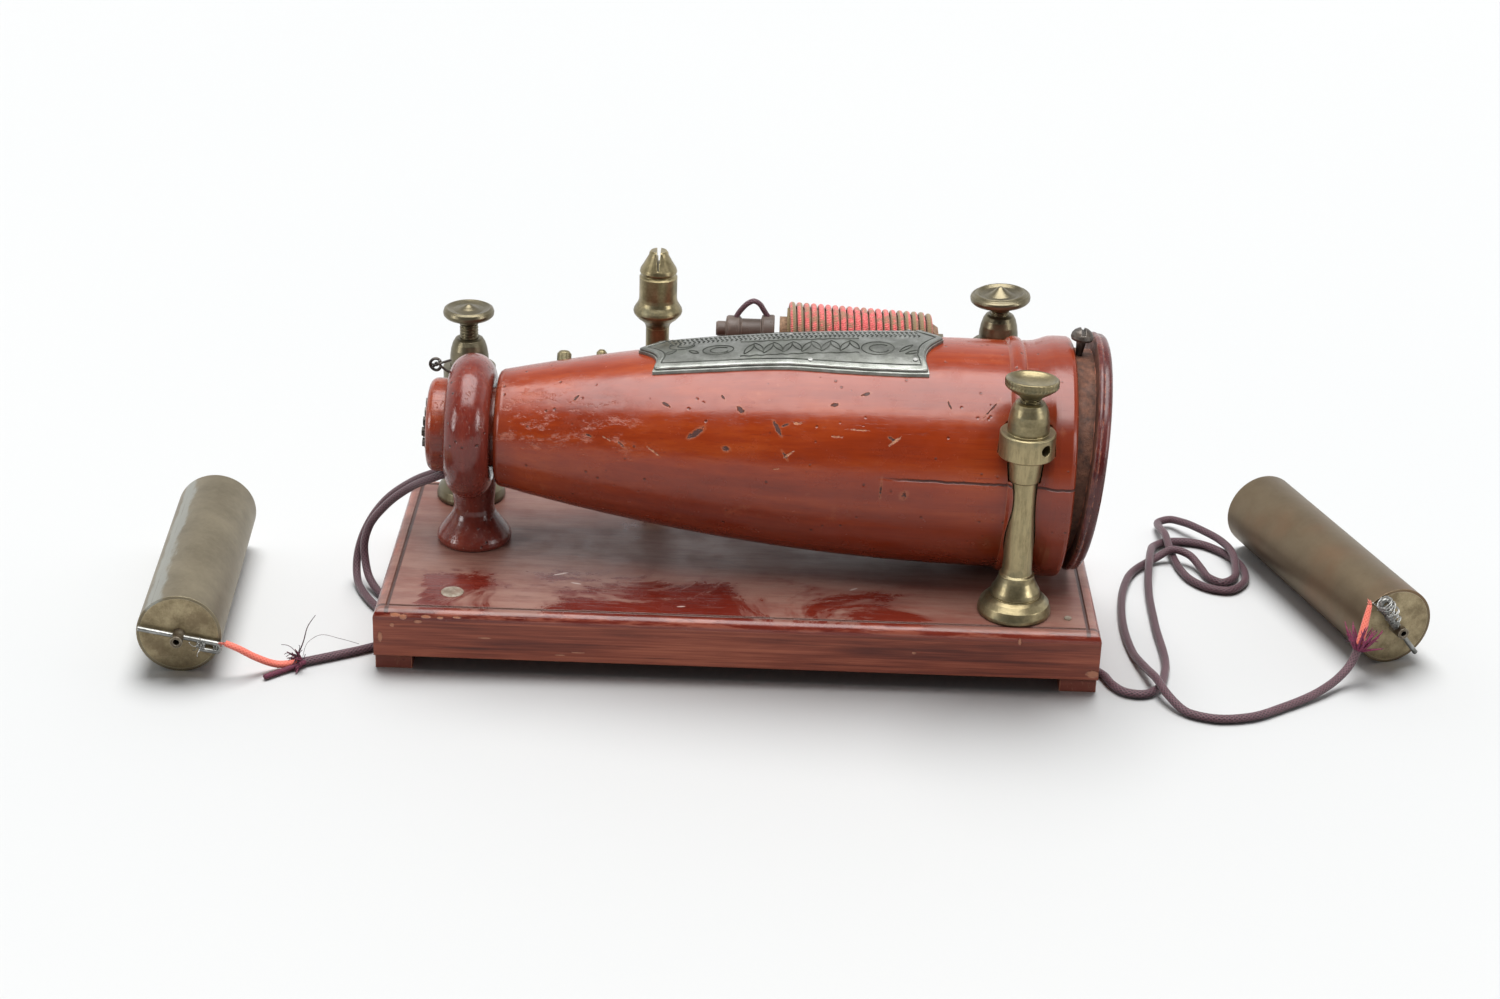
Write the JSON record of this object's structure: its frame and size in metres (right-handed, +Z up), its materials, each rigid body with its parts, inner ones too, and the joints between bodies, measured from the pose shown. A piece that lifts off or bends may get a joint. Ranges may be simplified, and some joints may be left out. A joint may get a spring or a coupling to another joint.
{
  "type": "medical electromagnetic machine",
  "caption": "Induction coil in a turned wooden barrel on a board, with interrupter, screw terminals and brass hand electrodes on braided cords.",
  "frame": {"origin": "on the standing surface under the centre of the base board", "axes": "+X along the barrel from its neck to its mouth, +Y from the front of the board to its back, +Z up"},
  "size_m": [0.4637, 0.1594, 0.1237],
  "materials": {
    "board_wood": "dusty French polish, worn at the edges",
    "foot_wood": "worn polish",
    "wire_copper": "dull copper",
    "terminal_brass": "tarnished brass with green patina and bright glints",
    "dark_wood": "glossy dark maroon polish, worn",
    "barrel_wood": "glossy orange red polish, dented",
    "cap_wood": "worn orange red polish",
    "raw_wood": "bare, dull",
    "green_silk": "silk covered wire",
    "dark_iron": "dark, slightly rusted",
    "pewter_plate": "pewter grey, engraved borders",
    "steel_wire": "grey wire",
    "spool_wood": "worn dark brown",
    "cord_braid": "dark purple brown braid",
    "cotton_winding": "olive brown cotton",
    "red_winding": "coral red cotton covered wire",
    "core_thread": "coral red core",
    "handle_brass": "satin, tarnished olive brown",
    "handle_disc": "tarnished, worn",
    "nipple_metal": "rough, tarnished"
  },
  "bodies": {
    "root": {"base_board": "board_wood", "foot_front_left": "foot_wood", "foot_front_right": "foot_wood", "foot_back_left": "foot_wood", "foot_back_right": "foot_wood", "base_wires": "wire_copper", "board_plugs": "terminal_brass", "standard": "dark_wood", "standard_screw": "dark_iron", "barrel_shell": "barrel_wood", "barrel_screws": "dark_iron", "end_cap": "cap_wood", "coil_former": "raw_wood", "primary_winding": "wire_copper", "secondary_winding": "green_silk", "nameplate": "pewter_plate", "nameplate_pins": "steel_wire", "rear_studs": "terminal_brass", "wire_hook": "steel_wire", "terminal_front_right_post": "terminal_brass", "terminal_back_left_post": "terminal_brass", "terminal_back_right_post": "terminal_brass", "stud_nuts": "terminal_brass", "contact_pillar": "terminal_brass", "pillar_head": "terminal_brass", "spring_block": "terminal_brass", "magnet_core": "dark_iron", "magnet_bobbin": "raw_wood", "magnet_inner_winding": "cotton_winding", "magnet_winding": "red_winding", "magnet_bracket_left": "terminal_brass", "magnet_bracket_right": "terminal_brass", "bracket_screws": "terminal_brass", "cord_left": "cord_braid", "cord_right": "cord_braid", "cord_left_core": "core_thread", "cord_right_core": "core_thread", "handle_left_tube": "handle_brass", "handle_right_tube": "handle_brass", "handle_caps": "handle_disc", "handle_nipples": "nipple_metal", "handle_left_pin": "steel_wire", "handle_right_pin": "steel_wire"},
    "core": {"iron_core": "dark_iron"},
    "cover": {"cover_disc": "dark_wood", "cover_screw": "dark_iron"},
    "front_right_stem": {"terminal_front_right_stem": "terminal_brass"},
    "front_right_knob": {"terminal_front_right_knob": "terminal_brass"},
    "back_left_stem": {"terminal_back_left_stem": "terminal_brass"},
    "back_left_knob": {"terminal_back_left_knob": "terminal_brass"},
    "back_right_stem": {"terminal_back_right_stem": "terminal_brass"},
    "back_right_knob": {"terminal_back_right_knob": "terminal_brass"},
    "contact_stem": {"contact_screw_stem": "terminal_brass"},
    "contact_knob": {"contact_screw_knob": "terminal_brass"},
    "armature": {"armature_spring": "steel_wire", "contact_point": "steel_wire", "hammer_spool": "spool_wood", "hammer_plate": "dark_iron", "pull_loop": "cord_braid"}
  },
  "joints": [
    {"name": "core_slide", "type": "slide", "parent": "root", "child": "core", "axis": [-0.9998, 0, 0.0183], "range_m": [0, 0.06]},
    {"name": "cover_pull", "type": "slide", "parent": "root", "child": "cover", "axis": [0.9963, 0, -0.0854], "range_m": [0, 0.025]},
    {"name": "front_right_lift", "type": "slide", "parent": "root", "child": "front_right_stem", "axis": [0, 0, 1], "range_m": [-0.00064, 0.00501]},
    {"name": "front_right_turn", "type": "hinge", "parent": "front_right_stem", "child": "front_right_knob", "pos_m": [0.0972, -0.0385, 0.1], "axis": [0, 0, 1], "range_deg": [-180, 1440]},
    {"name": "back_right_lift", "type": "slide", "parent": "root", "child": "back_right_stem", "axis": [0, 0, 1], "range_m": [-0.00126, 0.00501]},
    {"name": "back_right_turn", "type": "hinge", "parent": "back_right_stem", "child": "back_right_knob", "pos_m": [0.0921, 0.041, 0.1], "axis": [0, 0, 1], "range_deg": [-360, 1440]},
    {"name": "back_left_lift", "type": "slide", "parent": "root", "child": "back_left_stem", "axis": [0, 0, 1], "range_m": [-0.00376, 0.00251]},
    {"name": "back_left_turn", "type": "hinge", "parent": "back_left_stem", "child": "back_left_knob", "pos_m": [-0.1032, 0.042, 0.1], "axis": [0, 0, 1], "range_deg": [-1080, 720]},
    {"name": "contact_advance", "type": "slide", "parent": "root", "child": "contact_stem", "axis": [-1, 0, 0], "range_m": [0, 0.00501]},
    {"name": "contact_turn", "type": "hinge", "parent": "contact_stem", "child": "contact_knob", "pos_m": [-0.0485, 0.042, 0.0761], "axis": [-1, 0, 0], "range_deg": [0, 1440]},
    {"name": "armature_flex", "type": "hinge", "parent": "root", "child": "armature", "pos_m": [0.001, 0.042, 0.0307], "axis": [0, 1, 0], "range_deg": [0, 1.4], "stiffness_Nm_per_rad": 0.15}
  ],
  "couplings": [
    {"joint": "front_right_lift", "follows": "front_right_turn", "m_per_rad": 0.00019894},
    {"joint": "back_right_lift", "follows": "back_right_turn", "m_per_rad": 0.00019894},
    {"joint": "back_left_lift", "follows": "back_left_turn", "m_per_rad": 0.00019894},
    {"joint": "contact_advance", "follows": "contact_turn", "m_per_rad": 0.00019894}
  ]
}
